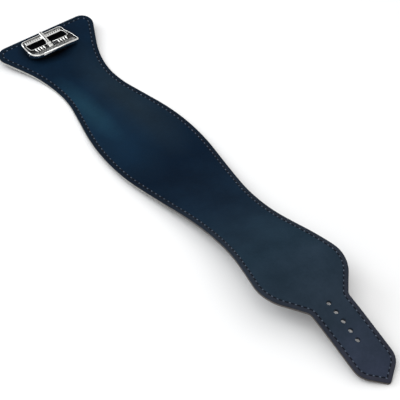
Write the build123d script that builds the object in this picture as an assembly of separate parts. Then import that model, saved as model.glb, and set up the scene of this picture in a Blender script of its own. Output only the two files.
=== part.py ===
from build123d import *

import os
from math import cos, radians, sin, tan

# A shaped leather strap with a prong buckle on its wide end, lying on a table.
# X runs from the buckle end to the tongue tip, Y across the strap, Z up. Millimetres.

# ---- driving dimensions: the leather ----
OUTER_THICK = 1.7
LINING_THICK = 1.5
STRAP_THICK = OUTER_THICK + LINING_THICK
TONGUE_HALF = 18.8
TIP_X = 501.2
# Corner points of one half of the outline (x, half width) and the radius at each.
SHOULDERS = [
    (0.0, 54.2, 10.0),
    (65.7, 21.3, 95.0),
    (169.3, 46.7, 208.0),
    (301.3, 24.8, 235.0),
    (391.0, 43.2, 38.0),
    (421.8, TONGUE_HALF, 8.0),
    (485.3, TONGUE_HALF, 16.0),
]
TIP_RADIUS = 3.0

# The underside in side view: runs (length between corner points, slope in degrees)
# and the radius of the arc that joins each run to the next.
START_HEIGHT = 6.5
RUNS = [(65.0, -6.0), (188.5, 1.66), (136.0, 11.4), (117.6, -15.8)]
BEND_RADII = [194.0, 870.0, 245.0]
END_SLOPE = RUNS[0][1]
TONGUE_SLOPE = RUNS[-1][1]
OVERRUN = 8.0

# ---- driving dimensions: holes and sewing ----
HOLE_RADIUS = 2.0
HOLE_COUNT = 5
HOLE_PITCH = 9.7
LAST_HOLE_TO_TIP = 43.5
THREAD_INSET = 3.6
THREAD_WIDTH = 0.8
THREAD_DEPTH = 0.5

# ---- driving dimensions: the buckle, as u along the strap from its end,
# v across it and w above the outer leather ----
BUCKLE_OFFSET = -3.0
TOE_U = 4.5
HEEL_U = 31.0
TOE_HALF = 21.0
HEEL_HALF = 24.5
TOE_CORNER = 3.5
HEEL_CORNER_SQUARE = 2.0
HEEL_CORNER_ROUND = 10.0
WINDOW_U = (10.8, 20.0)
WINDOW_HALF = 19.0
WINDOW_CORNER = 1.5
FRAME_TOP = [(0.0, 2.9), (11.0, 3.3), (20.0, 6.2), (36.0, 8.8)]
FRAME_UNDER = [(0.0, 0.3), (11.0, 0.3), (24.0, 1.2), (31.0, 4.0), (36.0, 6.0)]
PLATE_THICK = 1.2
HEEL_WALL = 2.5
PIN_U = 22.0
PIN_W = 2.8
PIN_RADIUS = 1.2
PIN_ENDS = (-23.0, 21.5)
SIDE_GROOVE = (6.5, 27.5)
GROOVE_DEPTH = 0.6
RIM_WIDTH = 1.6
FLUTE_PITCH = 2.7
FLUTE_RADIUS = 0.75
FLUTES_PER_SIDE = 4
FLUTE_START = 7.6
BEAD_PITCH = 2.2
BEAD_RADIUS = 0.6
BEADS_PER_SIDE = 7
BEAD_START = 3.6
BEAD_U = 8.9
PRONG_NOTCH = (2.8, 25.0)

# ---- driving dimensions: prong and chape ----
PRONG_HALF = 1.6
PRONG_THICK = 1.8
SHOULDER_HALF = 2.4
SHOULDER_U = (17.4, 20.0)
PRONG_TIP_U = 3.7
PRONG_LEVEL = 4.3
PRONG_EYE_RADIUS = 2.25
PRONG_CLEARANCE = 0.07
CHAPE_HALF = 17.5
CHAPE_THICK = 0.95
CHAPE_CLEARANCE = 0.06
FORK_HALF = 2.7
CHAPE_TURN = (26.0, -OUTER_THICK)
CHAPE_END_U = 38.0
STITCH_U = 28.4
STITCH_WIDTH = 0.6
STITCH_PITCH = 4.5
STITCHES = 3
STITCH_START = 4.0

ACROSS = 200.0


def run_corners(height):
    """Corner points and arc radii of the side view, a height above the underside."""
    x, z = -OVERRUN * cos(radians(END_SLOPE)), START_HEIGHT - OVERRUN * sin(radians(END_SLOPE))
    points = [(x, z)]
    for number, (length, slope) in enumerate(RUNS):
        length += OVERRUN * ((number == 0) + (number == len(RUNS) - 1))
        x += length * cos(radians(slope))
        z += length * sin(radians(slope))
        points.append((x, z))
    slopes = [slope for _, slope in RUNS]
    headings = [slopes[0]] + [(a + b) / 2 for a, b in zip(slopes, slopes[1:])] + [slopes[-1]]
    turns = [0.0] + [b - a for a, b in zip(slopes, slopes[1:])] + [0.0]
    lifted = []
    for (x, z), heading, turn in zip(points, headings, turns):
        reach = height / cos(radians(turn / 2))
        lifted.append((x - reach * sin(radians(heading)), z + reach * cos(radians(heading))))
    radii = [r - height if turn > 0 else r + height for r, turn in zip(BEND_RADII, turns[1:])]
    return lifted, radii


def level(height):
    """The side view's curve, a height above the underside, in the XZ plane."""
    points, radii = run_corners(height)
    return FilletPolyline([(x, 0, z) for x, z in points], radius=radii)


def slab(low, high):
    """Everything between two heights above the underside, right across the strap."""
    under, over = level(low), level(high)
    ends = [Line(under @ 0, over @ 0), Line(under @ 1, over @ 1)]
    side = make_face([under, over] + ends)
    return extrude(side, ACROSS / 2, dir=(0, 1, 0), both=True)


def outline(inset=0.0):
    """The strap's plan outline, moved in from its edge."""
    upper = [(x, y) for x, y, _ in SHOULDERS]
    lower = [(x, -y) for x, y in reversed(upper)]
    radii = [r for _, _, r in SHOULDERS]
    edge = FilletPolyline(
        upper + [(TIP_X, 0)] + lower,
        radius=radii + [TIP_RADIUS] + radii[::-1],
        close=True,
    )
    face = make_face(edge)
    return offset(face, -inset, kind=Kind.ARC) if inset else face


def column(face):
    """A plan shape taken straight up through the whole strap."""
    return extrude(face, ACROSS / 2, both=True)


def seam_column():
    return column(outline(THREAD_INSET) - outline(THREAD_INSET + THREAD_WIDTH))


def tongue_point(from_tip):
    """A point on the outer face of the straight tongue, a distance back from its tip."""
    points, _ = run_corners(STRAP_THICK)
    end_x, end_z = points[-1]
    back = OVERRUN + from_tip
    slope = radians(TONGUE_SLOPE)
    return Vector(end_x - back * cos(slope), 0, end_z - back * sin(slope))


def hole_points():
    return [tongue_point(LAST_HOLE_TO_TIP + HOLE_PITCH * n) for n in range(HOLE_COUNT)]


def hole_drills():
    slope = radians(TONGUE_SLOPE)
    normal = Vector(-sin(slope), 0, cos(slope))
    drills = []
    for point in hole_points():
        where = Plane(origin=point, x_dir=(0, 1, 0), z_dir=normal)
        drills.append(where * Cylinder(HOLE_RADIUS, 4 * STRAP_THICK))
    return drills


def buckle_plane():
    """Origin on the outer face at the strap's end; local x, y, z are u, v, w."""
    points, _ = run_corners(STRAP_THICK)
    start_x, start_z = points[0]
    slope = radians(END_SLOPE)
    origin = (start_x + OVERRUN * cos(slope), BUCKLE_OFFSET, start_z + OVERRUN * sin(slope))
    return Plane(origin=origin, x_dir=(cos(slope), 0, sin(slope)), z_dir=(-sin(slope), 0, cos(slope)))


def side_solid(points, low, high):
    """A shape drawn in the u-w plane, taken across from v = low to v = high."""
    face = make_face(Polyline([(u, 0, w) for u, w in points], close=True))
    return Pos(0, low, 0) * extrude(face, high - low, dir=(0, 1, 0))


def block(u_range, v_range, w_range):
    spans = (u_range, v_range, w_range)
    size = [b - a for a, b in spans]
    middle = [(a + b) / 2 for a, b in spans]
    return Pos(*middle) * Box(*size)


def across_pin(radius, low, high):
    """A cylinder on the hinge line."""
    return Pos(PIN_U, (low + high) / 2, PIN_W) * Rot(90, 0, 0) * Cylinder(radius, high - low)


def frame_envelope(lowered=0.0):
    """The frame's side view, its top moved down by an amount."""
    top = [(u, w - lowered) for u, w in reversed(FRAME_TOP)]
    return side_solid(FRAME_UNDER + top, -ACROSS / 2, ACROSS / 2)


def top_height(u):
    for (u0, w0), (u1, w1) in zip(FRAME_TOP, FRAME_TOP[1:]):
        if u0 <= u <= u1:
            return w0 + (w1 - w0) * (u - u0) / (u1 - u0)
    return FRAME_TOP[-1][1]


def frame_outline(inset=0.0):
    corners = [(TOE_U, TOE_HALF), (HEEL_U, HEEL_HALF), (HEEL_U, -HEEL_HALF), (TOE_U, -TOE_HALF)]
    radii = [TOE_CORNER, HEEL_CORNER_SQUARE, HEEL_CORNER_ROUND, TOE_CORNER]
    face = make_face(FilletPolyline(corners, radius=radii, close=True))
    return offset(face, -inset, kind=Kind.ARC) if inset else face


def buckle_frame():
    frame = column(frame_outline()) & frame_envelope()
    window_size = (WINDOW_U[1] - WINDOW_U[0], 2 * WINDOW_HALF)
    window = RectangleRounded(*window_size, WINDOW_CORNER)
    frame -= Pos((WINDOW_U[0] + WINDOW_U[1]) / 2, 0, 0) * column(window)
    # The heel plate is hollow underneath, where the chape turns round the pin.
    inner_heel = HEEL_U - HEEL_WALL
    start = WINDOW_U[1] - WINDOW_CORNER
    hollow = [
        (start, -1.0),
        (inner_heel, -1.0),
        (inner_heel, top_height(inner_heel) - PLATE_THICK),
        (WINDOW_U[1], top_height(WINDOW_U[1]) - PLATE_THICK),
        (start, top_height(WINDOW_U[1]) - PLATE_THICK),
    ]
    frame -= side_solid(hollow, -WINDOW_HALF, WINDOW_HALF)
    notch_half, notch_end = PRONG_NOTCH
    frame -= block((start, notch_end), (-notch_half, notch_half), (-1, 12))
    # A sunk channel runs along each side bar between two rims.
    channel = frame_outline(RIM_WIDTH) - Rectangle(ACROSS, 2 * (WINDOW_HALF + RIM_WIDTH))
    middle = sum(SIDE_GROOVE) / 2
    channel = channel & (Pos(middle, 0) * Rectangle(SIDE_GROOVE[1] - SIDE_GROOVE[0], ACROSS))
    frame -= column(channel) - frame_envelope(GROOVE_DEPTH)
    frame -= [flute(side * (FLUTE_START + FLUTE_PITCH * n)) for side in (-1, 1)
              for n in range(FLUTES_PER_SIDE)]
    frame -= [bead(side * (BEAD_START + BEAD_PITCH * n)) for side in (-1, 1)
              for n in range(BEADS_PER_SIDE)]
    return frame - across_pin(PIN_RADIUS, *PIN_ENDS)


def flute(v):
    """A round-bottomed cut along u in the inner edge of the heel plate."""
    (u0, w0), (u1, w1) = FRAME_TOP[-2:]
    lean = (w1 - w0) / (u1 - u0)
    start = WINDOW_U[1] - 1
    end = PRONG_NOTCH[1]
    lift = FLUTE_RADIUS * 0.4
    axis = Plane(origin=(start, v, w0 - lean + lift), z_dir=(1, 0, lean))
    return axis * extrude(Circle(FLUTE_RADIUS), end - start)


def bead(v):
    return Pos(BEAD_U, v, top_height(BEAD_U) + BEAD_RADIUS * 0.3) * Sphere(BEAD_RADIUS)


def hinge_pin():
    return across_pin(PIN_RADIUS, *PIN_ENDS)


def prong():
    half = PRONG_THICK / 2
    shank_top = [(PIN_U - 8, PRONG_LEVEL + half), (PRONG_TIP_U + 2, PRONG_LEVEL + half)]
    shank_end = [(PRONG_TIP_U, PRONG_LEVEL), (PRONG_TIP_U, PRONG_LEVEL - half)]
    shank_under = [(PIN_U - 8, PRONG_LEVEL - half), (PIN_U, PIN_W - half)]
    side = [(PIN_U, PIN_W + half)] + shank_top + shank_end + shank_under
    shank = side_solid(side, -PRONG_HALF, PRONG_HALF)
    shoulder = side_solid(side, -SHOULDER_HALF, SHOULDER_HALF)
    shoulder &= block(SHOULDER_U, (-SHOULDER_HALF, SHOULDER_HALF), (-1, 12))
    eye = across_pin(PRONG_EYE_RADIUS, -SHOULDER_HALF, SHOULDER_HALF)
    whole = shank + shoulder + eye
    return whole - across_pin(PIN_RADIUS + PRONG_CLEARANCE, -SHOULDER_HALF - 1, SHOULDER_HALF + 1)


def chape():
    """A strip folded round the pin, down through the outer leather and flat below it."""
    turn_u, turn_w = CHAPE_TURN
    run = Vector(turn_u - PIN_U, turn_w - PIN_W, 0).normalized()
    side_u, side_w = -run.Y * CHAPE_THICK, run.X * CHAPE_THICK
    neck = [
        (PIN_U + side_u, PIN_W + side_w),
        (turn_u + side_u, turn_w + side_w),
        (turn_u - side_u, turn_w - side_w),
        (PIN_U - side_u, PIN_W - side_w),
    ]
    fold = across_pin(PIN_RADIUS + CHAPE_CLEARANCE + CHAPE_THICK, -CHAPE_HALF, CHAPE_HALF)
    fold += side_solid(neck, -CHAPE_HALF, CHAPE_HALF)
    tail_w = (turn_w - CHAPE_THICK, turn_w + CHAPE_THICK)
    fold += block((turn_u - side_u, CHAPE_END_U), (-CHAPE_HALF, CHAPE_HALF), tail_w)
    fork_end = turn_u - CHAPE_THICK
    fold -= block((PIN_U - 5, fork_end), (-FORK_HALF, FORK_HALF), (-1, 12))
    return fold - across_pin(PIN_RADIUS + CHAPE_CLEARANCE, -CHAPE_HALF - 1, CHAPE_HALF + 1)


def chape_thread():
    """A sewn line through both leathers and the chape's tail, on each side of the fork."""
    half = STITCH_WIDTH / 2
    along = (STITCH_U - half, STITCH_U + half)
    sewn = None
    for side in (-1, 1):
        places = [side * (STITCH_START + STITCH_PITCH * n) for n in range(STITCHES)]
        run = (min(places) - half, max(places) + half)
        pieces = [block(along, run, (-STITCH_WIDTH, 0))]
        pieces.append(block(along, run, (-STRAP_THICK, STITCH_WIDTH - STRAP_THICK)))
        for v in places:
            pieces.append(block(along, (v - half, v + half), (-STRAP_THICK, 0)))
        for piece in pieces:
            sewn = sewn + piece if sewn else piece
    return sewn


def build():
    seat = buckle_plane()
    fitted = {
        "buckle_frame": buckle_frame(),
        "hinge_pin": hinge_pin(),
        "prong": prong(),
        "chape": chape() - chape_thread(),
        "chape_thread": chape_thread(),
    }
    fitted = {name: seat * shape for name, shape in fitted.items()}
    seam = seam_column()
    plan = column(outline())
    needle = seam & slab(STRAP_THICK - THREAD_DEPTH, STRAP_THICK)
    bobbin = seam & slab(0, THREAD_DEPTH)
    sewn_in = [fitted["chape"], fitted["chape_thread"]]
    holes = hole_drills()
    fitted["outer_leather"] = (plan & slab(LINING_THICK, STRAP_THICK)) - needle - sewn_in - holes
    fitted["lining_leather"] = (plan & slab(0, LINING_THICK)) - bobbin - sewn_in - holes
    fitted["edge_needle_thread"] = needle
    fitted["edge_bobbin_thread"] = bobbin
    return fitted


def grounding(parts):
    """How far to move everything so that the box's bottom centre is the origin."""
    box = Compound(children=[Compound(shape.solids()) for shape in parts.values()]).bounding_box()
    middle = (box.min + box.max) / 2
    return Vector(-middle.X, -middle.Y, -box.min.Z)


if __name__ == "__main__":
    parts = build()
    shift = grounding(parts)
    os.makedirs("parts", exist_ok=True)
    for name, shape in parts.items():
        placed = Compound(shape.solids()).moved(Location(shift))
        export_step(placed, f"parts/{name}.step")
        print(name, len(placed.solids()), round(placed.volume, 1))
    print("shift", shift)
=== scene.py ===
from math import asin, atan2, ceil, cos, pi, radians, sin, tan

import bmesh
import bpy
from mathutils import Matrix, Vector, noise


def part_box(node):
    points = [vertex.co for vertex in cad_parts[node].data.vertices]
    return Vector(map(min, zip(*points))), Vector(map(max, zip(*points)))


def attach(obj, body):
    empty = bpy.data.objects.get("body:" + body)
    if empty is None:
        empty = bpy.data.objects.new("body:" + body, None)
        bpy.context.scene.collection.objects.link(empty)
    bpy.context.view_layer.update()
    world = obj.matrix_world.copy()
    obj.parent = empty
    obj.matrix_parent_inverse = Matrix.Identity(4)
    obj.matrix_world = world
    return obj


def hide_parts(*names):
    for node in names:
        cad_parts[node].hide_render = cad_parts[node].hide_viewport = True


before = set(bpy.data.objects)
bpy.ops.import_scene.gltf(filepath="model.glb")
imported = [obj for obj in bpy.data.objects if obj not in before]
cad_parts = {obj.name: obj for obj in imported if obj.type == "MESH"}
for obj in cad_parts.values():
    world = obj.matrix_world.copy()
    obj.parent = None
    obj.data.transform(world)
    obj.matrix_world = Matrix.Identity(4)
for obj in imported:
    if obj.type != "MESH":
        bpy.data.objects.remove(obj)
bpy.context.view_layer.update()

# A shaped leather strap with a prong buckle. Shapes are drawn in millimetres.
MM = 0.001

# ---- leather ----
OUTER_THICK, LINING_THICK = 1.7, 1.5
STRAP_THICK = OUTER_THICK + LINING_THICK
TONGUE_HALF = 18.8
# Corners of the outline in plan: place along the strap, half width, radius.
SHOULDERS = [
    (0.0, 54.2, 10.0),
    (65.7, 21.3, 95.0),
    (169.3, 46.7, 208.0),
    (301.3, 24.8, 235.0),
    (391.0, 43.2, 38.0),
    (421.8, TONGUE_HALF, 8.0),
    (485.3, TONGUE_HALF, 16.0),
]
TIP = (501.2, 0.0, 3.0)
TIP_TAKEN_OFF = 0.9  # by the tip's radius
SMALLEST_RADIUS = 0.2  # left on a corner when its outline is moved in
OUTLINE = SHOULDERS + [TIP] + [(x, -y, r) for x, y, r in reversed(SHOULDERS)]
HALF_WIDTH = 48.0
# Chords round the outline, and the lengths that each ply is cut into so that it can bend.
OUTLINE_CHORD, CUT_LENGTH, CUT_WIDTH = 3.0, 4.0, 8.0
# The strap lies in straight runs, each (length, slope in degrees), with a bend between each two.
START_HEIGHT = 6.5
RUNS = [(65.0, -6.0), (188.5, 1.66), (136.0, 11.4), (117.6, -15.8)]
BEND_RADII = [194.0, 870.0, 245.0]
HOLE_RADIUS, HOLE_PITCH, HOLE_COUNT = 2.0, 9.7, 5
LAST_HOLE_TO_TIP = 43.5
# How a hole's pressed lip widens towards the face: (growth in radius, height over the face).
HOLE_LIP = [(0.0, -0.5), (0.08, -0.22), (0.3, 0.0), (0.45, 1.0)]
SEAM_INSET, STITCH_PITCH, STITCH_SLANT = 4.0, 5.0, radians(7)
# Stitches, and the leather pulled up between them: length, width and height, and how far each is sunk.
STITCH_SIZE, STITCH_SINK, UNDER_STITCH_SINK = (3.5, 1.1, 0.75), 0.12, 0.28
BRIDGE_SIZE, BRIDGE_SINK = (1.6, 1.2, 0.8), 0.2
# The slow waves in the upper face; the slice picks one pattern of them.
WAVE_HEIGHT, WAVE_LENGTH, WAVE_WIDTH, WAVE_SLICE = 0.12, 38.0, 30.0, 3.7

# ---- buckle: u along the strap, v across, w above the outer leather ----
BUCKLE_OFFSET = -3.0
FRAME_CORNERS = [(4.5, 21.0, 3.5), (31.0, 24.5, 2.0), (31.0, -24.5, 10.0), (4.5, -21.0, 3.5)]
WINDOW_CORNERS = [(10.8, 19.0, 1.5), (20.0, 19.0, 1.5), (20.0, -19.0, 1.5), (10.8, -19.0, 1.5)]
FRAME_TOP = [(0.0, 2.9), (11.0, 3.3), (20.0, 6.2), (36.0, 8.8)]
FRAME_UNDER = [(0.0, 0.3), (11.0, 0.3), (24.0, 1.2), (31.0, 4.0), (36.0, 6.0)]
UPPER_DEPTH, LOWER_DEPTH = 2.6, 1.6  # of the skin above and below the frame's middle
PIN_U, PIN_W, PIN_RADIUS = 22.0, 2.8, 1.2
# Cut from the frame: the hollow under the heel plate, the prong's notch and a nick in the rim.
PLATE_THICK, HEEL_THICKENING, HEEL_WALL = 1.2, 0.5, 2.5
HOLLOW_U, HOLLOW_HALF = 19.0, 18.99
NOTCH_U, NOTCH_HALF = (18.5, 25.0), 2.8
NICK_U, NICK_W, NICK_V = (29.6, 31.6), (6.9, 6.4), (-12.7, -11.9)
CLEAR_BELOW, CLEAR_ABOVE = -2.0, 12.0
# Where the sunk ground is engraved: on the toe bar, and on the heel plate up to its bright lip.
TOE_GROUND_U, HEEL_GROUND_U, HEEL_GROUND_HALF, HEEL_LIP_U = 7.2, 25.6, 19.5, 29.0
FLUTE_START, FLUTE_PITCH, FLUTES_PER_SIDE = 7.6, 2.7, 4
FLUTE_U, FLUTE_SINK, FLUTE_RADIUS = (19.9, 25.5), 0.2, 0.82
FLUTE_TOP_U = (20.3, 25.2)  # where the plate's height is taken for each end
FLUTE_GATHER = 0.97  # the flutes lean together a little towards the heel
STRIP_SIZE, STRIP_SINK, STRIP_ROUNDING = (2.7, 36.6, 1.0), 0.42, 0.42
STRIP_SLOPE = atan2(FRAME_TOP[1][1] - FRAME_TOP[0][1], FRAME_TOP[1][0] - FRAME_TOP[0][0])
DOT_U, DOT_START, DOT_PITCH, DOTS_PER_SIDE = 8.7, 3.6, 2.2, 7
DOT_REACH, DOT_W, DOT_RADIUS = 0.7, (3.3, 3.35), 0.5
PRONG_SPINE = [
    (3.7, 4.25), (5.2, 4.3), (9.0, 4.3), (13.0, 4.25), (15.5, 4.05), (18.0, 3.6), (20.2, 3.15),
]
PRONG_TIP, PRONG_HALF_WIDTH, PRONG_HALF_DEPTH, PRONG_ROUNDING = (3.45, 4.0), 1.6, 0.9, 0.55
COLLAR_SIZE, COLLAR_CENTRE = (2.4, 4.8, 2.3), (18.6, 0, 3.55)
COLLAR_TILT, COLLAR_ROUNDING = radians(11), 0.6
LINE_HALF, LINE_PROUD, LINE_DEPTH = 0.45, 0.03, 0.25  # the line along the prong's back
EYE_RADIUS, EYE_HALF, EYE_CLEARANCE = 2.25, 2.35, 0.07  # round the pin
CHAPE_HALF, CHAPE_THICK, CHAPE_CLEARANCE, FORK_HALF = 17.5, 0.95, 0.06, 2.7
# The fold opens at its mouth, closes on the way down to its turn between the plies, and ends flat.
CHAPE_TURN, CHAPE_END_U = (26.0, -OUTER_THICK), 38.0
CHAPE_MOUTH, CHAPE_CLOSED_AT, CHAPE_ROUNDING = radians(48), 0.72, 0.22
CHAPE_STITCH_U, CHAPE_STITCH_START, CHAPE_STITCH_PITCH, CHAPE_STITCHES = 28.4, 4.0, 4.5, 2
CHAPE_STITCH_GAP, CHAPE_STITCH_RADIUS = 0.3, 0.42

# ---- view ----
AZIMUTH, ELEVATION, DISTANCE_M = radians(54.68), radians(44.36), 2.083
AIM_X, AIM_Y = 248.6, -1.8
LENS, SENSOR = 225.0, 36.0


# ---------------------------------------------------------------- small tools

def shade(mesh, sharp_angle):
    """Smooth shading, with edges sharper than an angle kept crisp."""
    mesh.polygons.foreach_set("use_smooth", [True] * len(mesh.polygons))
    mesh.set_sharp_from_angle(angle=radians(sharp_angle))


def finish_mesh(bm, name, materials, sharp_angle=38):
    """Turns a bmesh built in millimetres into an object in metres at the origin."""
    bmesh.ops.recalc_face_normals(bm, faces=bm.faces)
    bmesh.ops.scale(bm, vec=(MM, MM, MM), verts=bm.verts)
    mesh = bpy.data.meshes.new(name)
    bm.to_mesh(mesh)
    bm.free()
    shade(mesh, sharp_angle)
    for material in materials:
        mesh.materials.append(material)
    piece = bpy.data.objects.new(name, mesh)
    bpy.context.scene.collection.objects.link(piece)
    return piece


def fillet_arcs(corners, inset):
    """The arcs of a closed rounded polygon, moved in by an amount: (centre, start point, turn).

    Corners run clockwise seen from above, so the inside lies to the right of each run.
    """
    arcs = []
    for i, (x, y, r) in enumerate(corners):
        corner = Vector((x, y))
        before = (corner - Vector(corners[i - 1][:2])).normalized()
        after = (Vector(corners[(i + 1) % len(corners)][:2]) - corner).normalized()
        turn = atan2(before.cross(after), before.dot(after))
        side = 1 if turn > 0 else -1
        radius = max(r + side * inset, SMALLEST_RADIUS)
        moved = corner + (before - after).normalized() * (side * inset / cos(turn / 2))
        start = moved - before * (radius * tan(abs(turn) / 2))
        left = Vector((-before.y, before.x))
        arcs.append((start + left * side * radius, start, turn))
    return arcs


def loop_points(corners, inset, steps):
    """Points round a rounded polygon, in the same order for every inset."""
    points = []
    for (centre, start, turn), count in zip(fillet_arcs(corners, inset), steps):
        for n in range(count + 1):
            points.append(centre + Matrix.Rotation(turn * n / count, 2) @ (start - centre))
    return points


def arc_steps(corners, chord):
    """How many steps each corner's arc needs for a given chord length."""
    return [max(4, ceil(abs(turn) * (start - centre).length / chord))
            for centre, start, turn in fillet_arcs(corners, 0.0)]


def banded_skin(bm, corners, section, steps):
    """A skin drawn out loop by loop; returns its first and last loops of edges.

    section lists (inset, height, material of the band that follows).
    """
    inset, height, _ = section[0]
    loop = [bm.verts.new((p.x, p.y, height)) for p in loop_points(corners, inset, steps)]
    first = edges = [bm.edges.new(pair) for pair in zip(loop, loop[1:] + loop[:1])]
    for (_, _, material), (inset, height, _) in zip(section, section[1:]):
        drawn = bmesh.ops.extrude_edge_only(bm, edges=edges)["geom"]
        fresh = {g for g in drawn if isinstance(g, bmesh.types.BMVert)}
        for face in (g for g in drawn if isinstance(g, bmesh.types.BMFace)):
            face.material_index = material
        loop = [next(e.other_vert(v) for e in v.link_edges if e.other_vert(v) in fresh)
                for v in loop]
        for vert, place in zip(loop, loop_points(corners, inset, steps)):
            vert.co = (place.x, place.y, height)
        edges = [bm.edges.get(pair) for pair in zip(loop, loop[1:] + loop[:1])]
    return first, edges


def banded_solid(bm, corners, section, steps):
    """A closed solid: a banded skin with its first and last loops filled."""
    loops = banded_skin(bm, corners, section, steps)
    for loop, (_, _, material) in zip(loops, (section[0], section[-1])):
        for face in bmesh.ops.edgeloop_fill(bm, edges=loop)["faces"]:
            face.material_index = material


def banded_ring(bm, outside, inside):
    """A closed ring between an outer and an inner skin, each (corners, section, steps)."""
    outer_first, outer_last = banded_skin(bm, *outside)
    inner_first, inner_last = banded_skin(bm, *inside)
    for one, other, material in ((outer_last, inner_first, outside[1][-1][2]),
                                 (inner_last, outer_first, inside[1][-1][2])):
        for face in bmesh.ops.bridge_loops(bm, edges=one + other)["faces"]:
            face.material_index = material


def cut_across(bm, axis, places):
    """Adds an edge loop at each place along an axis."""
    normal = [1.0 if i == axis else 0.0 for i in range(3)]
    for place in places:
        point = [place * n for n in normal]
        bmesh.ops.bisect_plane(bm, geom=bm.verts[:] + bm.edges[:] + bm.faces[:], dist=1e-4,
                               plane_co=point, plane_no=normal)


def steps_between(low, high, step):
    """Even places strictly between two ends, a step or a little less apart."""
    count = ceil((high - low) / step)
    return [low + (high - low) * n / count for n in range(1, count)]


def turn_round(bm, profile, centre, axis, closed):
    """Turns a line of points the whole way round an axis; closed joins its last point to its first."""
    verts = [bm.verts.new(point) for point in profile]
    following = verts[1:] + verts[:1] if closed else verts[1:]
    edges = [bm.edges.new(pair) for pair in zip(verts, following)]
    bmesh.ops.spin(bm, geom=verts + edges, cent=centre, axis=axis, angle=2 * pi, steps=32,
                   use_merge=True)
    bmesh.ops.remove_doubles(bm, verts=bm.verts, dist=1e-4)


def slab(bm, outline, v_low, v_high):
    """A closed shape drawn in the u-w plane and taken across from one v to another."""
    face = bm.faces.new([bm.verts.new((u, v_low, w)) for u, w in outline])
    spread = bmesh.ops.extrude_face_region(bm, geom=[face])["geom"]
    moved = [g for g in spread if isinstance(g, bmesh.types.BMVert)]
    bmesh.ops.translate(bm, verts=moved, vec=(0, v_high - v_low, 0))


def round_edges(bm, edges, radius, segments=3):
    bmesh.ops.bevel(bm, geom=edges, offset=radius, offset_type="OFFSET", segments=segments, profile=0.5,
                    affect="EDGES", material=-1)


def sharp_edges(bm, angle):
    return [e for e in bm.edges if e.calc_face_angle(0) > radians(angle)]


def rounded_block(bm, size, tilt, centre, rounding):
    """A cuboid with rounded edges, tilted about the direction across the strap."""
    verts = bmesh.ops.create_cube(bm, size=1.0)["verts"]
    bmesh.ops.scale(bm, verts=verts, vec=size)
    bmesh.ops.rotate(bm, verts=verts, cent=(0, 0, 0), matrix=Matrix.Rotation(tilt, 3, "Y"))
    bmesh.ops.translate(bm, verts=verts, vec=centre)
    own = set(verts)
    round_edges(bm, [e for e in bm.edges if e.verts[0] in own], rounding)


def ridge(bm, start, end, radius):
    """A plump spindle between two points, half of it sunk where it lies on a face."""
    run = Vector(end) - Vector(start)
    verts = bmesh.ops.create_uvsphere(bm, u_segments=12, v_segments=8, radius=1.0)["verts"]
    stretch = Matrix.Diagonal((radius, radius, run.length / 2, 1))
    turn = run.to_track_quat("Z", "Y").to_matrix().to_4x4()
    middle = Matrix.Translation((Vector(start) + Vector(end)) / 2)
    bmesh.ops.transform(bm, matrix=middle @ turn @ stretch, verts=verts)


def paint_new_faces(bm, before, material):
    """Gives a material to the faces that weren't there before."""
    for face in set(bm.faces) - before:
        face.material_index = material


def cut_away(piece, cutters):
    """Subtracts other closed objects from a closed piece and removes them."""
    for cutter in cutters:
        modifier = piece.modifiers.new("cut", "BOOLEAN")
        modifier.object = cutter
        modifier.operation = "DIFFERENCE"
        modifier.solver = "MANIFOLD"
    bpy.context.view_layer.update()
    seen = piece.evaluated_get(bpy.context.evaluated_depsgraph_get())
    mesh = bpy.data.meshes.new_from_object(seen)
    piece.modifiers.clear()
    piece.data = mesh
    for cutter in cutters:
        bpy.data.objects.remove(cutter)


def height_at(profile, u):
    """Height at u on straight runs between (u, w) points, the last one carried on."""
    for (u0, w0), (u1, w1) in zip(profile, profile[1:]):
        if u <= u1 or (u1, w1) == profile[-1]:
            return w0 + (w1 - w0) * (u - u0) / (u1 - u0)


# ---------------------------------------------------------------- the lie of the strap

def arch_arcs():
    """The bends of the strap's underside, each with the corner it rounds and the slope after it."""
    x, z = 0.0, START_HEIGHT
    arcs = []
    for (length, slope), (_, next_slope), radius in zip(RUNS, RUNS[1:], BEND_RADII):
        slope, next_slope = radians(slope), radians(next_slope)
        x += length * cos(slope)
        z += length * sin(slope)
        turn = next_slope - slope
        reach = radius * tan(abs(turn) / 2)
        radius *= 1 if turn > 0 else -1
        start = (x - reach * cos(slope), z - reach * sin(slope))
        centre = (start[0] - radius * sin(slope), start[1] + radius * cos(slope))
        arcs.append((start[0], x + reach * cos(next_slope), centre, radius, (x, z), next_slope))
    return arcs


ARCH = arch_arcs()


def arch(x):
    """Height and slope of the strap's underside at a place along it."""
    corner, slope = (0.0, START_HEIGHT), radians(RUNS[0][1])
    for start_x, end_x, centre, radius, next_corner, next_slope in ARCH:
        if x < start_x:
            break
        if x <= end_x:
            lean = asin((x - centre[0]) / radius)
            return centre[1] - radius * cos(lean), lean
        corner, slope = next_corner, next_slope
    return corner[1] + (x - corner[0]) * tan(slope), slope


GROUND = min(arch(x)[0] for x in range(int(TIP[0])))
END_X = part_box("lining_leather")[0].x / MM  # where the buckle end is in the frame


def lay(x, y, height):
    """A point of the strap in plan and height, moved to where it lies in the frame."""
    z, slope = arch(x)
    return Vector((x - height * sin(slope) + END_X, y, z - GROUND + height * cos(slope)))


def lay_down(mesh):
    for vert in mesh.vertices:
        vert.co = lay(*(vert.co / MM)) * MM


def buckle_seat():
    """From buckle coordinates in millimetres to the frame, still in millimetres."""
    origin = lay(0.0, BUCKLE_OFFSET, STRAP_THICK)
    return Matrix.Translation(origin) @ Matrix.Rotation(-radians(RUNS[0][1]), 4, "Y")


# ---------------------------------------------------------------- materials

def new_material(name):
    material = bpy.data.materials.new(name)
    material.use_nodes = True
    return material, material.node_tree, material.node_tree.nodes["Principled BSDF"]


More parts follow.
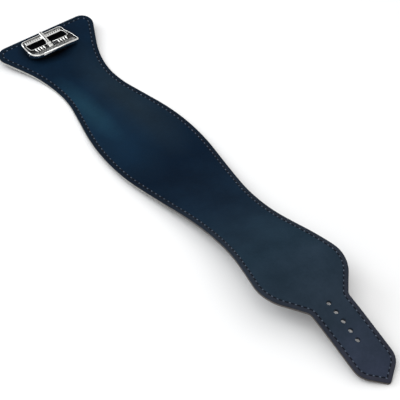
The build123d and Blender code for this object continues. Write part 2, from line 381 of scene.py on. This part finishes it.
def feed(tree, socket, value):
    """Links an input to another node's output, or gives it a fixed value."""
    if isinstance(value, bpy.types.NodeSocket):
        tree.links.new(value, socket)
    else:
        socket.default_value = value


def add(tree, kind, **values):
    """A new node; each value is for the input of that name, or else for the node's own setting."""
    made = tree.nodes.new(kind)
    for key, value in values.items():
        if key in made.inputs:
            feed(tree, made.inputs[key], value)
        else:
            setattr(made, key, value)
    return made


def calc(tree, operation, *terms, use_clamp=False):
    made = add(tree, "ShaderNodeMath", operation=operation, use_clamp=use_clamp)
    for socket, term in zip(made.inputs, terms):
        feed(tree, socket, term)
    return made.outputs[0]


def object_coords(tree, scale=(1, 1, 1), location=(0, 0, 0), turn=0.0):
    coords = add(tree, "ShaderNodeTexCoord")
    return add(tree, "ShaderNodeMapping", Vector=coords.outputs["Object"], Location=location,
               Rotation=(0, 0, turn), Scale=scale).outputs["Vector"]


def clouds(tree, where, scale, detail, roughness=0.5):
    """Noise from 0 to 1; scale is clouds per metre."""
    made = add(tree, "ShaderNodeTexNoise", Vector=where, Scale=scale, Detail=detail, Roughness=roughness)
    return made.outputs["Fac"]


def cells(tree, where, scale, feature):
    """Distance from the middle of each cell; scale is cells per metre."""
    made = add(tree, "ShaderNodeTexVoronoi", feature=feature, Vector=where, Scale=scale)
    return made.outputs["Distance"]


def ramp(tree, source, stops):
    made = add(tree, "ShaderNodeValToRGB", Fac=source)
    elements = made.color_ramp.elements
    while len(elements) < len(stops):
        elements.new(0.5)
    for element, (place, color) in zip(elements, stops):
        element.position = place
        element.color = (*color, 1)
    return made.outputs["Color"]


def grey(value):
    return (value, value, value)


def raise_surface(tree, shader, height, strength, depth_m):
    """Bumps a shader's surface by a pattern."""
    bump = add(tree, "ShaderNodeBump", Strength=strength, Distance=depth_m, Height=height)
    feed(tree, shader.inputs["Normal"], bump.outputs["Normal"])


def along_strap(tree, wander, stops):
    """A colour that changes from the buckle end, 0, to the tip, 1, its borders wandering a little."""
    wandering = 0.16
    split = add(tree, "ShaderNodeSeparateXYZ", Vector=object_coords(tree))
    # The frame's origin is halfway along, and the wandering's own mean is taken off again.
    place = calc(tree, "MULTIPLY_ADD", split.outputs["X"], 1.0 / (TIP[0] * MM), 0.5 - 0.5 * wandering)
    return ramp(tree, calc(tree, "MULTIPLY_ADD", wander, wandering, place), stops)


def paint_light_oval(tree, color, centre, reach, tint, strength):
    """A soft oval of painted light over a colour, lighter or darker by its tint; centre and reach are
    millimetres along and across.
    """
    scale = (1 / (reach[0] * MM), 1 / (reach[1] * MM), 0)
    location = (-(centre[0] + END_X) / reach[0], -centre[1] / reach[1], 0)
    oval = add(tree, "ShaderNodeTexGradient", gradient_type="SPHERICAL",
               Vector=object_coords(tree, scale, location)).outputs["Fac"]
    amount = calc(tree, "MULTIPLY", oval, strength, use_clamp=True)
    return add(tree, "ShaderNodeMixRGB", Fac=amount, Color1=color, Color2=(*tint, 1)).outputs["Color"]


def leather(name, stops, rough, grain=0.35, level=0.25, light_ovals=()):
    """Dyed leather: cloudy colour, pebbled grain, fine pores and uneven gloss, with ovals of painted
    light laid over the colour where given.
    """
    fine_share, mottle = 0.35, 0.9
    material, tree, shader = new_material(name)
    where = object_coords(tree)
    broad = clouds(tree, where, scale=28.0, detail=5.0, roughness=0.6)
    fine = clouds(tree, where, scale=420.0, detail=4.0, roughness=0.7)
    mixed = calc(tree, "MULTIPLY_ADD", fine, fine_share, broad)
    color = along_strap(tree, broad, stops)
    # Ovals of painted highlight and painted shadow, laid over the dye's colour.
    for centre, reach, tint, strength in light_ovals:
        color = paint_light_oval(tree, color, centre, reach, tint, strength)
    # Mottled about its own mean, so that the dye keeps its depth on the whole.
    mean = 0.5 + 0.5 * fine_share
    mottling = calc(tree, "MULTIPLY_ADD", mixed, mottle, 1 - mottle * mean)
    shaded = add(tree, "ShaderNodeVectorMath", operation="SCALE", Vector=color, Scale=mottling)
    feed(tree, shader.inputs["Base Color"], shaded.outputs["Vector"])
    gloss = ramp(tree, mixed, [(0.4, grey(rough - 0.07)), (0.9, grey(rough + 0.08))])
    feed(tree, shader.inputs["Roughness"], gloss)
    pebbles = cells(tree, where, scale=900.0, feature="SMOOTH_F1")
    pebbled = calc(tree, "MULTIPLY_ADD", pebbles, 0.7, fine)
    pits = cells(tree, where, scale=1500.0, feature="F1")
    pores = ramp(tree, pits, [(0.05, grey(0.0)), (0.25, grey(0.25))])
    raise_surface(tree, shader, calc(tree, "ADD", pebbled, pores), strength=grain, depth_m=0.0003)
    feed(tree, shader.inputs["Specular IOR Level"], level)
    return material


def raw_edge(name, stops):
    """The cut side of a ply: fibres packed along the strap, rubbed smooth."""
    material, tree, shader = new_material(name)
    pressed = object_coords(tree, scale=(1.0, 1.0, 9.0))
    fibres = clouds(tree, pressed, scale=160.0, detail=6.0, roughness=0.75)
    streak = ramp(tree, fibres, [(0.35, grey(0.45)), (0.62, grey(1.0))])
    streaked = add(tree, "ShaderNodeMixRGB", blend_type="MULTIPLY", Fac=1.0,
                   Color1=along_strap(tree, fibres, stops), Color2=streak)
    feed(tree, shader.inputs["Base Color"], streaked.outputs["Color"])
    raise_surface(tree, shader, fibres, strength=0.5, depth_m=0.0004)
    feed(tree, shader.inputs["Roughness"], 0.7)
    feed(tree, shader.inputs["Specular IOR Level"], 0.25)
    return material


def fibrous(name, dark, light, rough, level):
    """Fine twisted fibres under wax."""
    material, tree, shader = new_material(name)
    wisps = clouds(tree, object_coords(tree), scale=900.0, detail=3.0)
    feed(tree, shader.inputs["Base Color"], ramp(tree, wisps, [(0.35, dark), (0.7, light)]))
    raise_surface(tree, shader, wisps, strength=0.5, depth_m=0.0002)
    feed(tree, shader.inputs["Roughness"], rough)
    feed(tree, shader.inputs["Specular IOR Level"], level)
    return material


def plated(name, dark, light, rough, relief):
    """Plated metal with faint polishing marks."""
    material, tree, shader = new_material(name)
    marks = clouds(tree, object_coords(tree), scale=1100.0, detail=3.0, roughness=0.6)
    feed(tree, shader.inputs["Base Color"], ramp(tree, marks, [(0.4, dark), (0.6, light)]))
    gloss = ramp(tree, marks, [(0.3, grey(rough)), (0.7, grey(rough + 0.08))])
    feed(tree, shader.inputs["Roughness"], gloss)
    raise_surface(tree, shader, marks, strength=relief, depth_m=0.0002)
    feed(tree, shader.inputs["Metallic"], 1.0)
    return material


def engraved_plate(name, dark, light):
    """A ground cut with two crossing sets of curling lines, blackened in the cuts."""
    material, tree, shader = new_material(name)
    cuts = [
        add(tree, "ShaderNodeTexWave", Vector=object_coords(tree, turn=radians(turn)), Scale=270.0,
            Distortion=3.5, Detail=2.0, **{"Detail Scale": 1.6}).outputs["Fac"]
        for turn in (38, -52)
    ]
    crossed = calc(tree, "MULTIPLY", *cuts)
    feed(tree, shader.inputs["Base Color"], ramp(tree, crossed, [(0.12, dark), (0.42, light)]))
    raise_surface(tree, shader, crossed, strength=0.8, depth_m=0.0003)
    feed(tree, shader.inputs["Roughness"], 0.3)
    feed(tree, shader.inputs["Metallic"], 1.0)
    return material


# Its tone along the strap is partly painted light: the dark middle and the brightening towards the tip
# are painted shade and painted highlight from how light falls on the bent strap; the cloudy mottling is
# the dye's own.
NAVY = leather("navy_leather", [
    (0.0, (0.003, 0.0115, 0.027)), (0.15, (0.003, 0.015, 0.034)), (0.28, (0.0045, 0.0155, 0.033)),
    (0.42, (0.0015, 0.0085, 0.0215)), (0.55, (0.0045, 0.0145, 0.03)), (0.7, (0.0115, 0.026, 0.042)),
    (0.85, (0.0215, 0.034, 0.051)), (1.0, (0.034, 0.042, 0.07)),
], rough=0.5, level=0.03, light_ovals=[
    # Painted highlight: three soft paler, bluer ovals on the strap's first bend, the brightest on its
    # near side.
    ((112, 17), (95, 26), (0.01, 0.022, 0.036), 1.2),
    ((135, -22), (85, 36), (0.0045, 0.021, 0.046), 1.0),
    ((106, -18), (54, 14), (0.009, 0.037, 0.064), 1.2),
    # Painted shadow: a near-black oval on the leather under and around the buckle.
    ((17, -3), (22, 30), (0.0008, 0.001, 0.0016), 2.6),
])
# Brightens towards the tip with the navy leather: the same painted highlight from how light falls on the
# bent strap.
MARGIN = leather("rubbed_margin", [
    (0.0, (0.003, 0.0105, 0.022)), (0.4, (0.0035, 0.0095, 0.02)), (0.6, (0.011, 0.017, 0.028)),
    (0.75, (0.019, 0.026, 0.038)), (1.0, (0.032, 0.034, 0.05)),
], rough=0.5, level=0.05)
LINING = leather("lining_leather", [(0.0, (0.028, 0.031, 0.037)), (1.0, (0.034, 0.036, 0.042))],
                 rough=0.62, grain=0.6)
CHAPE = leather("chape_leather", [(0.0, (0.006, 0.009, 0.016)), (1.0, (0.006, 0.009, 0.016))],
                rough=0.55)
NAVY_EDGE = raw_edge("burnished_edge", [(0.0, (0.006, 0.012, 0.02)), (1.0, (0.014, 0.015, 0.019))])
LINING_EDGE = raw_edge("grey_cut_edge", [
    (0.0, (0.62, 0.62, 0.6)), (0.35, (0.5, 0.5, 0.49)),
    (0.55, (0.16, 0.15, 0.145)), (1.0, (0.13, 0.115, 0.105)),
])
THREAD = fibrous("waxed_thread", (0.001, 0.002, 0.005), (0.004, 0.007, 0.015), rough=0.5, level=0.1)
# The leather pulled up between stitches is painted far paler and bluer than the strap: a painted glint
# on each bump.
BRIDGE_GLINT = fibrous("pulled_leather_painted_glint", (0.026, 0.045, 0.075), (0.1, 0.13, 0.18), rough=0.35, level=0.4)
BRIGHT = plated("bright_plate", (0.78, 0.78, 0.76), (0.86, 0.86, 0.84), rough=0.1, relief=0.04)
# Near-black plate for the frame's sunk channel and the dots on the toe strip.
DARK_RECESS = plated("dark_recess_plate", (0.012, 0.012, 0.013), (0.05, 0.05, 0.052),
                   rough=0.35, relief=0.34)
ENGRAVED = engraved_plate("engraved_ground", (0.02, 0.021, 0.023), (0.55, 0.55, 0.54))


# ---------------------------------------------------------------- leather pieces

# Sections run round a ply's edge: (inset, height, material of the band that follows).
FACE, EDGE, RUBBED, RAW = 0, 1, 2, 3
# The groove that the seam is pulled into: (place across from the seam, depth).
SEAM_GROOVE = [(-0.9, 0.0), (-0.5, 0.12), (-0.25, 0.4), (0.25, 0.4), (0.5, 0.12), (1.0, 0.0)]
OUTER_SECTION = [
    (6.0, LINING_THICK, RAW),
    (0.12, LINING_THICK, RAW),
    (0.0, LINING_THICK + 0.15, RAW),
    (0.0, STRAP_THICK - 1.05, EDGE),
    (0.0, STRAP_THICK - 0.75, EDGE),
    (0.14, STRAP_THICK - 0.35, RUBBED),
    (0.45, STRAP_THICK - 0.1, RUBBED),
    (1.0, STRAP_THICK, RUBBED),
] + [
    (SEAM_INSET + across, STRAP_THICK - sunk, RUBBED if across < -0.5 else FACE)
    for across, sunk in SEAM_GROOVE
] + [(7.0, STRAP_THICK, FACE)]
LINING_SECTION = [(7.0, 0.0, FACE)] + [
    (SEAM_INSET + across, sunk, FACE) for across, sunk in reversed(SEAM_GROOVE)
] + [
    (0.8, 0.0, FACE),
    (0.25, 0.1, EDGE),
    (0.0, 0.45, EDGE),
    (0.0, LINING_THICK - 0.15, EDGE),
    (0.12, LINING_THICK, EDGE),
    (6.0, LINING_THICK, EDGE),
]


def hole_places():
    """Places of the holes in plan, on the last run, whose slope draws them a little together."""
    shortening = cos(radians(RUNS[-1][1]))
    end = TIP[0] - TIP_TAKEN_OFF
    return [end - (LAST_HOLE_TO_TIP + HOLE_PITCH * n) * shortening for n in range(HOLE_COUNT)]


def hole_cutter(place, low, high, face_up):
    """A turned punch for a ply from low to high: straight, and flared at the ply's face."""
    profile = [(0.0, low - 1), (HOLE_RADIUS, low - 1)]
    profile += [(HOLE_RADIUS + grow, high + rise) for grow, rise in HOLE_LIP]
    profile += [(0.0, high + 1)]
    if not face_up:
        profile = [(r, low + high - z) for r, z in reversed(profile)]
    bm = bmesh.new()
    side = [(place + r, 0, z) for r, z in profile]
    turn_round(bm, side, (place, 0, 0), (0, 0, 1), closed=False)
    return finish_mesh(bm, "punch", [])


def make_uneven(mesh):
    """Lifts and sinks the strap's upper face in slow waves."""
    for vert in mesh.vertices:
        x, y, z = vert.co / MM
        if z > STRAP_THICK - 0.5:
            wave = noise.noise(Vector((x / WAVE_LENGTH, y / WAVE_WIDTH, WAVE_SLICE)))
            vert.co.z += WAVE_HEIGHT * MM * wave


def ply(name, section, materials, low, high, face_up):
    """One leather: banded solid, cut into short lengths that can bend, punched and laid down."""
    bm = bmesh.new()
    banded_solid(bm, OUTLINE, section, arc_steps(OUTLINE, OUTLINE_CHORD))
    cut_across(bm, 0, steps_between(0, TIP[0], CUT_LENGTH))
    cut_across(bm, 1, steps_between(-HALF_WIDTH, HALF_WIDTH, CUT_WIDTH))
    piece = finish_mesh(bm, name, materials)
    cut_away(piece, [hole_cutter(place, low, high, face_up) for place in hole_places()])
    if face_up:
        make_uneven(piece.data)
    lay_down(piece.data)
    shade(piece.data, 40)
    return piece


def walk(corners, inset, pitch, phase):
    """Even places round a rounded polygon, about a pitch apart: (x, y, heading).

    phase is how much of the first pitch is left out before the first place, from 0 to 1.
    """
    arcs = fillet_arcs(corners, inset)
    spans = []
    for (centre, start, turn), (_, next_start, _) in zip(arcs, arcs[1:] + arcs[:1]):
        spoke = start - centre
        end = centre + Matrix.Rotation(turn, 2) @ spoke
        spans.append((abs(turn) * spoke.length, centre, start, turn))
        spans.append(((next_start - end).length, None, end, next_start))
    total = sum(length for length, *_ in spans)
    count = round(total / pitch)
    step = total / count
    travelled, due, places = 0.0, step * phase, []
    for length, centre, start, turn_or_end in spans:
        while due <= travelled + length and len(places) < count:
            part = (due - travelled) / length
            if centre is None:
                point, along = start.lerp(turn_or_end, part), turn_or_end - start
            else:
                spoke = Matrix.Rotation(turn_or_end * part, 2) @ (start - centre)
                point = centre + spoke
                along = Vector((-spoke.y, spoke.x)) * (1 if turn_or_end > 0 else -1)
            places.append((point.x, point.y, atan2(along.y, along.x)))
            due += step
        travelled += length
    return places


def seam_row(name, material, size, height, slant, phase):
    """A row round the edge of small plump spindles: stitches, or leather pulled up between them."""
    bm = bmesh.new()
    for x, y, heading in walk(OUTLINE, SEAM_INSET, STITCH_PITCH, phase):
        verts = bmesh.ops.create_uvsphere(bm, u_segments=8, v_segments=5, radius=0.5)["verts"]
        lengthways = Matrix.Rotation(pi / 2, 3, "Y")
        round_the_edge = Matrix.Rotation(heading + slant, 3, "Z")
        bmesh.ops.rotate(bm, verts=verts, cent=(0, 0, 0), matrix=lengthways)
        bmesh.ops.scale(bm, verts=verts, vec=size)
        bmesh.ops.rotate(bm, verts=verts, cent=(0, 0, 0), matrix=round_the_edge)
        bmesh.ops.translate(bm, verts=verts, vec=(x, y, height))
    piece = finish_mesh(bm, name, [material], 80)
    lay_down(piece.data)
    return piece


def make_leather():
    outer = ply("outer_ply", OUTER_SECTION, [NAVY, NAVY_EDGE, MARGIN, LINING_EDGE],
                LINING_THICK, STRAP_THICK, face_up=True)
    lining = ply("lining_ply", LINING_SECTION, [LINING, LINING_EDGE], 0.0, LINING_THICK, face_up=False)
    # Stitches lie half a pitch in, and the leather is pulled up midway between them, its paler colour a
    # painted glint.
    top_row = seam_row("edge_stitches_top", THREAD, STITCH_SIZE,
                       height=STRAP_THICK - STITCH_SINK, slant=STITCH_SLANT, phase=0.5)
    under_row = seam_row("edge_stitches_under", THREAD, STITCH_SIZE,
                         height=UNDER_STITCH_SINK, slant=-STITCH_SLANT, phase=0.5)
    bridges = seam_row("seam_bridges", BRIDGE_GLINT, BRIDGE_SIZE,
                       height=STRAP_THICK - BRIDGE_SINK, slant=0.0, phase=0.0)
    for piece, cad, slot in (
        (outer, "outer_leather", "outer_leather"),
        (lining, "lining_leather", "lining_leather"),
        (top_row, "edge_needle_thread", "waxed_thread"),
        (under_row, "edge_bobbin_thread", "waxed_thread"),
        (bridges, None, "outer_leather"),
    ):
        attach(piece, "strap")
        if cad:
            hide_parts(cad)


# ---------------------------------------------------------------- buckle pieces

def place_on_strap(piece):
    """Moves a mesh from buckle coordinates to where it sits on the strap."""
    seat = buckle_seat()
    for vert in piece.data.vertices:
        vert.co = (seat @ (vert.co / MM)) * MM


def prism(name, outline, v_low, v_high):
    """A slab as an object of its own, to cut with."""
    bm = bmesh.new()
    slab(bm, outline, v_low, v_high)
    return finish_mesh(bm, name, [])


def pit(name, ends, floor, v_low, v_high):
    """A prism that is open above the frame, with its two ends along u and its floor's height at each."""
    (near, far), (near_w, far_w) = ends, floor
    outline = [(near, near_w), (far, far_w), (far, CLEAR_ABOVE), (near, CLEAR_ABOVE)]
    return prism(name, outline, v_low, v_high)


def frame_mesh():
    """The cast frame: bright rims, a dark sunk channel and an engraved heel plate.

    It is drawn with heights from 0 to 1, which are then hung between its underside and its top.
    """
    bright, black, engraved = 0, 1, 2
    outer = [
        (0.8, 0.0, bright),
        (0.15, 0.1, bright),
        (0.0, 0.3, bright),
        (0.0, 0.55, bright),
        (0.12, 0.74, bright),
        (0.35, 0.91, bright),
        (0.7, 1.0, bright),
        (1.0, 1.0, bright),
        (1.12, 0.95, black),
        (1.22, 0.72, black),
        (1.32, 0.7, black),
    ]
    inner = [
        (-0.9, 0.7, black),
        (-0.82, 0.9, bright),
        (-0.65, 1.0, bright),
        (-0.3, 1.0, bright),
        (-0.1, 0.93, bright),
        (0.0, 0.75, bright),
        (0.0, 0.3, bright),
        (-0.3, 0.0, bright),
    ]
    bm = bmesh.new()
    banded_ring(bm, (FRAME_CORNERS, outer, arc_steps(FRAME_CORNERS, 0.8)),
                (WINDOW_CORNERS, inner, arc_steps(WINDOW_CORNERS, 0.4)))
    toe, heel = FRAME_CORNERS[0][0], FRAME_CORNERS[1][0]
    cut_across(bm, 0, steps_between(toe, heel, 1.0))
    bmesh.ops.remove_doubles(bm, verts=bm.verts, dist=0.004)
    for vert in bm.verts:
        share = vert.co.z
        if share >= 0.5:
            vert.co.z = height_at(FRAME_TOP, vert.co.x) - (1 - share) * UPPER_DEPTH
        else:
            vert.co.z = height_at(FRAME_UNDER, vert.co.x) + share * LOWER_DEPTH
    for face in bm.faces:
        middle = face.calc_center_median()
        on_plate = middle.x > HEEL_GROUND_U and abs(middle.y) < HEEL_GROUND_HALF
        if face.material_index == black and (on_plate or middle.x < TOE_GROUND_U):
            face.material_index = bright if middle.x > HEEL_LIP_U else engraved
    piece = finish_mesh(bm, "buckle_body", [BRIGHT, DARK_RECESS, ENGRAVED], 50)
    window_end, hollow_end = WINDOW_CORNERS[1][0], heel - HEEL_WALL
    ceiling = height_at(FRAME_TOP, window_end) - PLATE_THICK
    hollow = prism("hollow", [
        (HOLLOW_U, CLEAR_BELOW),
        (hollow_end, CLEAR_BELOW),
        (hollow_end, height_at(FRAME_TOP, hollow_end) - PLATE_THICK - HEEL_THICKENING),
        (window_end, ceiling),
        (HOLLOW_U, ceiling),
    ], -HOLLOW_HALF, HOLLOW_HALF)
    notch = pit("notch", NOTCH_U, (CLEAR_BELOW, CLEAR_BELOW), -NOTCH_HALF, NOTCH_HALF)
    nick = pit("nick", NICK_U, NICK_W, *NICK_V)
    cut_away(piece, [hollow, notch, nick])
    return piece


def ornament():
    """Flutes on the heel plate's inner edge, and a bright strip with dark dots on the toe bar."""
    bm = bmesh.new()
    strip_centre = (DOT_U, 0, height_at(FRAME_TOP, DOT_U) - STRIP_SINK)
    rounded_block(bm, STRIP_SIZE, -STRIP_SLOPE, strip_centre, STRIP_ROUNDING)
    flute_w = [height_at(FRAME_TOP, u) - FLUTE_SINK for u in FLUTE_TOP_U]
    for side in (-1, 1):
        for n in range(FLUTES_PER_SIDE):
            v = side * (FLUTE_START + FLUTE_PITCH * n)
            ridge(bm, (FLUTE_U[0], v, flute_w[0]), (FLUTE_U[1], v * FLUTE_GATHER, flute_w[1]),
                  FLUTE_RADIUS)
        for n in range(DOTS_PER_SIDE):
            v = side * (DOT_START + DOT_PITCH * n)
            before = set(bm.faces)
            ridge(bm, (DOT_U - DOT_REACH, v, DOT_W[0]), (DOT_U + DOT_REACH, v, DOT_W[1]),
                  DOT_RADIUS)
            paint_new_faces(bm, before, 1)
    return finish_mesh(bm, "buckle_ornament", [BRIGHT, DARK_RECESS], 80)


def prong_mesh():
    """The prong: bent shank with rounded edges, a collar, an engraved line and an eye round the pin."""
    bm = bmesh.new()
    upper = [(u, w + PRONG_HALF_DEPTH) for u, w in PRONG_SPINE]
    lower = [(u + 0.1, w - PRONG_HALF_DEPTH) for u, w in reversed(PRONG_SPINE)]
    slab(bm, [PRONG_TIP] + upper + lower, -PRONG_HALF_WIDTH, PRONG_HALF_WIDTH)
    round_edges(bm, sharp_edges(bm, 50), PRONG_ROUNDING)
    rounded_block(bm, COLLAR_SIZE, COLLAR_TILT, COLLAR_CENTRE, COLLAR_ROUNDING)
    before = set(bm.faces)
    back = upper[:-1]
    line = [(u, w + LINE_PROUD) for u, w in back] + [(u, w - LINE_DEPTH) for u, w in reversed(back)]
    slab(bm, line, -LINE_HALF, LINE_HALF)
    paint_new_faces(bm, before, 1)
    low, high, half = PIN_RADIUS + EYE_CLEARANCE, EYE_RADIUS, EYE_HALF
    section = [(low, 0.15 - half), (low + 0.15, -half), (high - 0.3, -half), (high, 0.35 - half),
               (high, half - 0.35), (high - 0.3, half), (low + 0.15, half), (low, half - 0.15)]
    eye = [(PIN_U - r, v, PIN_W) for r, v in section]
    turn_round(bm, eye, (PIN_U, 0, PIN_W), (0, 1, 0), closed=True)
    return finish_mesh(bm, "prong_body", [BRIGHT, ENGRAVED], 60)


def chape_outline():
    """The leather fold from the side: round the pin, down to the strap, and a tail between the plies."""
    pin, turn = Vector((PIN_U, PIN_W)), Vector(CHAPE_TURN)
    run = turn - pin
    heading = atan2(run.y, run.x)
    side = Vector((-sin(heading), cos(heading))) * CHAPE_THICK
    reach, steps = PIN_RADIUS + CHAPE_CLEARANCE + CHAPE_THICK, 24
    fold = []
    for n in range(steps + 1):
        angle = heading + CHAPE_MOUTH + (2 * pi - 2 * CHAPE_MOUTH) * n / steps
        fold.append(pin + Vector((cos(angle), sin(angle))) * reach)
    turn_u, turn_w = CHAPE_TURN
    tail = [
        pin + run * CHAPE_CLOSED_AT - side,
        turn - side,
        (turn_u + 1.0, turn_w - CHAPE_THICK),
        (CHAPE_END_U, turn_w - CHAPE_THICK),
        (CHAPE_END_U, turn_w + CHAPE_THICK),
        (turn_u + 1.2, turn_w + CHAPE_THICK),
        turn + side,
        pin + run * CHAPE_CLOSED_AT + side,
    ]
    return fold + tail


def chape_bore():
    """A rod to cut the room for the pin."""
    bm = bmesh.new()
    radius = PIN_RADIUS + CHAPE_CLEARANCE
    rod = bmesh.ops.create_cone(bm, cap_ends=True, segments=32, radius1=radius, radius2=radius,
                                depth=60.0)["verts"]
    bmesh.ops.rotate(bm, verts=rod, cent=(0, 0, 0), matrix=Matrix.Rotation(pi / 2, 3, "X"))
    bmesh.ops.translate(bm, verts=rod, vec=(PIN_U, 0, PIN_W))
    return finish_mesh(bm, "bore", [])


def chape_mesh():
    """The chape's two leaves, one on each side of the fork that the prong's eye fills."""
    whole = bmesh.new()
    for low, high in ((-CHAPE_HALF, -FORK_HALF), (FORK_HALF, CHAPE_HALF)):
        bm = bmesh.new()
        slab(bm, chape_outline(), low, high)
        bmesh.ops.recalc_face_normals(bm, faces=bm.faces)
        round_edges(bm, sharp_edges(bm, 60), CHAPE_ROUNDING, segments=2)
        leaf = finish_mesh(bm, "leaf", [])
        cut_away(leaf, [chape_bore()])
        whole.from_mesh(leaf.data)
        bpy.data.objects.remove(leaf)
    bmesh.ops.scale(whole, vec=(1 / MM, 1 / MM, 1 / MM), verts=whole.verts)
    return finish_mesh(whole, "chape_fold", [CHAPE], 50)


def chape_stitches():
    """The sewn line through the chape's tail, on the face and on the lining."""
    bm = bmesh.new()
    for side in (-1, 1):
        for n in range(CHAPE_STITCHES):
            start = CHAPE_STITCH_START + CHAPE_STITCH_PITCH * n
            near, far = start + CHAPE_STITCH_GAP, start + CHAPE_STITCH_PITCH - CHAPE_STITCH_GAP
            for w in (0.0, -STRAP_THICK):
                ridge(bm, (CHAPE_STITCH_U, side * near, w), (CHAPE_STITCH_U, side * far, w),
                      CHAPE_STITCH_RADIUS)
    return finish_mesh(bm, "chape_stitches", [THREAD], 80)


def make_buckle():
    for piece, body_name, slot, cad in (
        (frame_mesh(), "frame", "polished_metal", "buckle_frame"),
        (ornament(), "frame", "polished_metal", None),
        (prong_mesh(), "prong", "polished_metal", "prong"),
        (chape_mesh(), "strap", "chape_leather", "chape"),
        (chape_stitches(), "strap", "waxed_thread", "chape_thread"),
    ):
        place_on_strap(piece)
        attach(piece, body_name)
        if cad:
            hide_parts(cad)


def dress_pin():
    """The turned pin keeps its own mesh and gets the plated finish."""
    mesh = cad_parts["hinge_pin"].data
    mesh.materials.clear()
    mesh.materials.append(BRIGHT)


# ---------------------------------------------------------------- stage, in metres

def area_light(name, place, size, power, color=(1, 1, 1)):
    """A round lamp that faces the origin."""
    data = bpy.data.lights.new(name, "AREA")
    data.shape = "DISK"
    data.size = size
    data.energy = power
    data.color = color
    light = bpy.data.objects.new(name, data)
    light.location = place
    light.rotation_euler = (-Vector(place)).to_track_quat("-Z", "Y").to_euler()
    bpy.context.scene.collection.objects.link(light)


def make_floor():
    bm = bmesh.new()
    bmesh.ops.create_grid(bm, x_segments=2, y_segments=2, size=6000)
    material, tree, shader = new_material("pale_floor")
    tone = clouds(tree, object_coords(tree), scale=3.0, detail=2.0)
    feed(tree, shader.inputs["Base Color"], ramp(tree, tone, [(0.3, grey(0.95)), (0.7, grey(0.97))]))
    feed(tree, shader.inputs["Roughness"], 0.9)
    floor = finish_mesh(bm, "floor", [material])


def make_world():
    """A pale studio, darker round the horizon so that the metal has something to mirror."""
    world = bpy.data.worlds.new("studio")
    world.use_nodes = True
    bpy.context.scene.world = world
    tree = world.node_tree
    coords = add(tree, "ShaderNodeTexCoord")
    split = add(tree, "ShaderNodeSeparateXYZ", Vector=coords.outputs["Generated"])
    sky = ramp(tree, split.outputs["Z"], [
        (0.0, grey(0.95)), (0.25, grey(0.9)), (0.42, grey(0.55)),
        (0.58, grey(0.9)), (0.8, grey(1.1)), (1.0, grey(0.9)),
    ])
    background = tree.nodes["Background"]
    feed(tree, background.inputs["Color"], sky)
    feed(tree, background.inputs["Strength"], 0.85)


def make_stage():
    make_floor()
    make_world()
    area_light("overhead", (0.5, -0.9, 1.9), 1.8, 12)
    area_light("left_fill", (-1.2, -0.8, 0.9), 0.9, 8, (0.9, 0.95, 1.0))
    bpy.context.scene.view_settings.view_transform = "Standard"


def make_camera():
    back = Vector((sin(AZIMUTH) * cos(ELEVATION), -cos(AZIMUTH) * cos(ELEVATION), sin(ELEVATION)))
    target = Vector((AIM_X + END_X, AIM_Y, -GROUND)) * MM
    data = bpy.data.cameras.new("camera")
    data.lens, data.sensor_width = LENS, SENSOR
    data.clip_end = 20
    camera = bpy.data.objects.new("camera", data)
    camera.location = target + back * DISTANCE_M
    camera.rotation_euler = back.to_track_quat("Z", "Y").to_euler()
    bpy.context.scene.collection.objects.link(camera)
    bpy.context.scene.camera = camera


make_camera()
make_leather()
make_buckle()
dress_pin()
make_stage()
